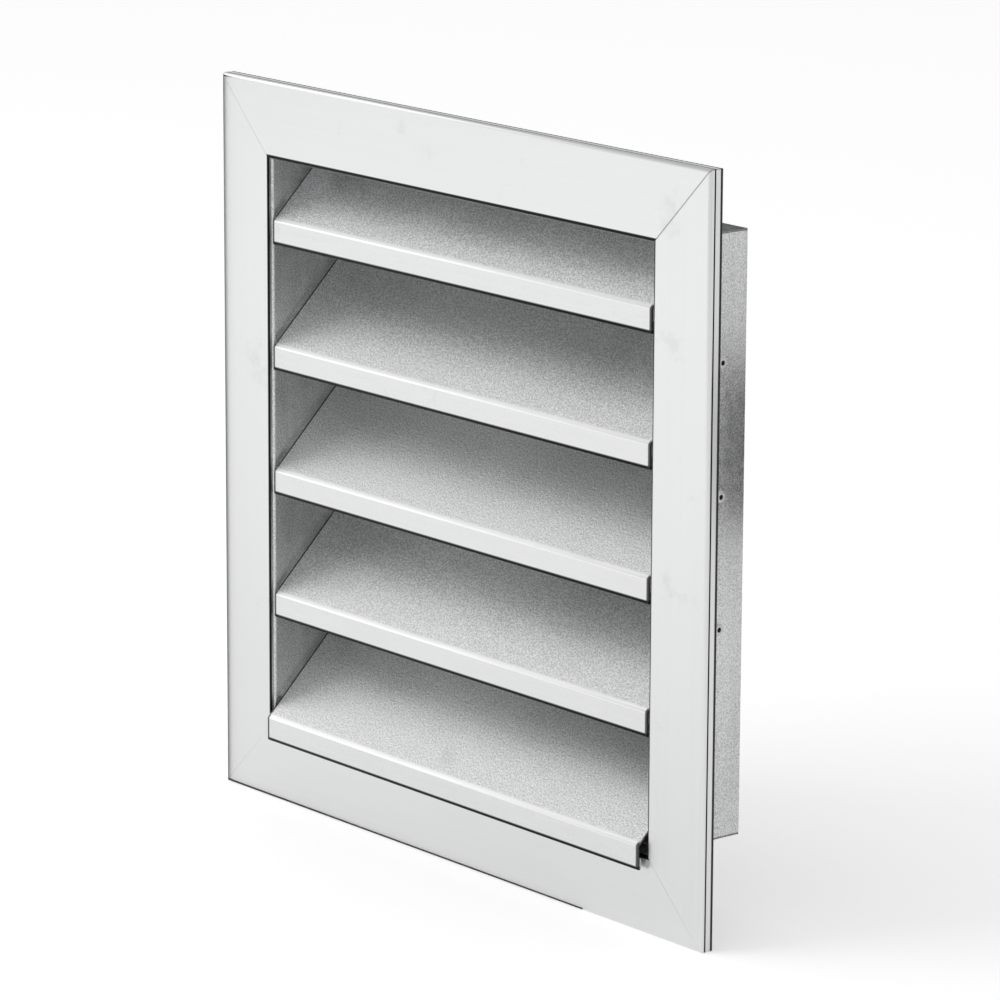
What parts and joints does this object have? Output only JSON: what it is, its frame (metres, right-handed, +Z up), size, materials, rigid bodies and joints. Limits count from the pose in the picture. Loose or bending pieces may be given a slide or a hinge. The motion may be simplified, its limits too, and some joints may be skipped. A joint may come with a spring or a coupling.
{
  "type": "weather louvre",
  "caption": "Square wall ventilation grille: mitred flange frame, sheet collar behind it and fixed sloping blades with upright front lips, the lowest one lapping over the frame as a sill.",
  "frame": {"origin": "centre of the louvre's opening, on the plane where the frame's foam seal meets the wall", "axes": "+Z up, +X to the right of someone facing the louvre, +Y into the wall"},
  "size_m": [0.385, 0.064, 0.385],
  "materials": {
    "frame_aluminium": "mill finish, satin",
    "blade_sheet": "mill finish, fine rolled grain",
    "collar_sheet": "galvanised, dull",
    "rivet_aluminium": "plain",
    "key_steel": "zinc plated",
    "seal_foam": "closed-cell foam"
  },
  "bodies": {
    "root": {"frame_top": "frame_aluminium", "frame_bottom": "frame_aluminium", "frame_left": "frame_aluminium", "frame_right": "frame_aluminium", "corner_key_top_left": "key_steel", "corner_key_top_right": "key_steel", "corner_key_bottom_left": "key_steel", "corner_key_bottom_right": "key_steel", "collar_top": "collar_sheet", "collar_bottom": "collar_sheet", "collar_left": "collar_sheet", "collar_right": "collar_sheet", "blade_1": "blade_sheet", "blade_2": "blade_sheet", "blade_3": "blade_sheet", "blade_4": "blade_sheet", "blade_5": "blade_sheet", "wall_seal_top": "seal_foam", "wall_seal_bottom": "seal_foam", "wall_seal_left": "seal_foam", "wall_seal_right": "seal_foam", "blade_rivets_left": "rivet_aluminium", "blade_rivets_right": "rivet_aluminium"}
  },
  "joints": []
}
